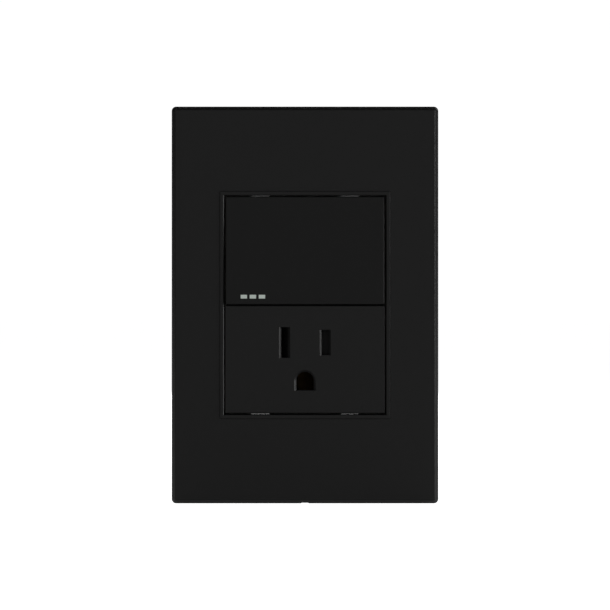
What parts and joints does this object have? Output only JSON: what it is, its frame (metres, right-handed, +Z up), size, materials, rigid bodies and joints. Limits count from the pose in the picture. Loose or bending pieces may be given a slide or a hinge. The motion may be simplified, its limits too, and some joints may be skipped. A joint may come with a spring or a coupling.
{
  "type": "combination dimmer switch and outlet",
  "caption": "Black single-gang wall set: a wide flat tap dimmer key with small level lights above a grounded plug outlet, snapped into a steel strap behind a plain screwless plate.",
  "frame": {"origin": "on the wall surface, midway between the two box screws and at the middle of the plate", "axes": "+Y into the wall, +Z up, +X to the right as seen from the room"},
  "size_m": [0.0834, 0.0329, 0.124],
  "materials": {
    "plate_black": "black moulded plastic, fine texture",
    "key_black": "black moulded plastic, smooth",
    "face_black": "black moulded plastic, fine texture",
    "body_black": "black glass-filled nylon",
    "shutter_black": "black acetal",
    "lens_white": "frosted light guide",
    "guide_clear": "clear acrylic",
    "strap_steel": "zinc-plated steel",
    "screw_steel": "zinc-plated steel",
    "spring_steel": "spring steel",
    "nickel": "nickel plate",
    "brass": "brass strip",
    "green_screw": "green dyed zinc",
    "retainer_fibre": "vulcanised fibre",
    "board_green": "solder mask",
    "led_white": "light emitter",
    "chip_black": "epoxy package",
    "aluminium": "sheet aluminium",
    "ferrite": "coated powdered iron",
    "copper": "enamelled copper wire",
    "capacitor_yellow": "film capacitor case",
    "capacitor_sleeve": "shrink sleeve"
  },
  "bodies": {
    "wall_unit": {"bonding_strip": "brass", "choke_core": "ferrite", "choke_winding": "copper", "clamp_washers": "nickel", "contact_retainer": "body_black", "control_board": "board_green", "controller_chip": "chip_black", "dimmer_assembly_screws": "screw_steel", "dimmer_ground_screw": "green_screw", "dimmer_line_screws": "brass", "dimmer_neutral_screw": "nickel", "dimmer_terminal_plates": "brass", "film_capacitor": "capacitor_yellow", "front_shutter_spring": "spring_steel", "ground_contact": "brass", "heat_spreader": "aluminium", "indicator_leds": "led_white", "key_hinge_pin": "spring_steel", "key_return_springs": "spring_steel", "light_guide": "guide_clear", "line_contact": "brass", "mounting_screws": "screw_steel", "mounting_strap": "strap_steel", "neutral_contact": "brass", "outlet_assembly_screws": "screw_steel", "outlet_base": "body_black", "outlet_face": "face_black", "outlet_ground_screw": "green_screw", "outlet_line_screw": "brass", "outlet_neutral_screw": "nickel", "rear_shutter_spring": "spring_steel", "screw_retainers": "retainer_fibre", "storage_capacitor": "capacitor_sleeve", "switch_back_cover": "body_black", "switch_housing": "body_black", "tact_switch_case": "chip_black", "triac": "chip_black", "trim_frame": "plate_black", "wall_plate": "plate_black"},
    "key": {"switch_key": "key_black", "indicator_lens": "lens_white"},
    "plunger": {"tact_plunger": "chip_black"},
    "front_shutter_body": {"front_shutter": "shutter_black"},
    "rear_shutter_body": {"rear_shutter": "shutter_black"}
  },
  "joints": [
    {"name": "key_press", "type": "hinge", "parent": "wall_unit", "child": "key", "pos_m": [0, -0.0049, 0.0294], "axis": [1, 0, 0], "range_deg": [0, 2], "stiffness_Nm_per_rad": 0.4, "springref_deg": -2.29, "deforming": ["key_return_springs"]},
    {"name": "plunger_press", "type": "slide", "parent": "wall_unit", "child": "plunger", "axis": [0, 1, 0], "range_m": [0, 0.00076]},
    {"name": "front_shutter_slide", "type": "slide", "parent": "wall_unit", "child": "front_shutter_body", "axis": [1, 0, 0], "range_m": [0, 0.0032], "stiffness_N_per_m": 60, "springref_m": -0.003, "deforming": ["front_shutter_spring"]},
    {"name": "rear_shutter_slide", "type": "slide", "parent": "wall_unit", "child": "rear_shutter_body", "axis": [-1, 0, 0], "range_m": [0, 0.0032], "stiffness_N_per_m": 60, "springref_m": -0.003, "deforming": ["rear_shutter_spring"]}
  ],
  "couplings": [
    {"joint": "plunger_press", "follows": "key_press", "m_per_rad": 0.0214}
  ]
}
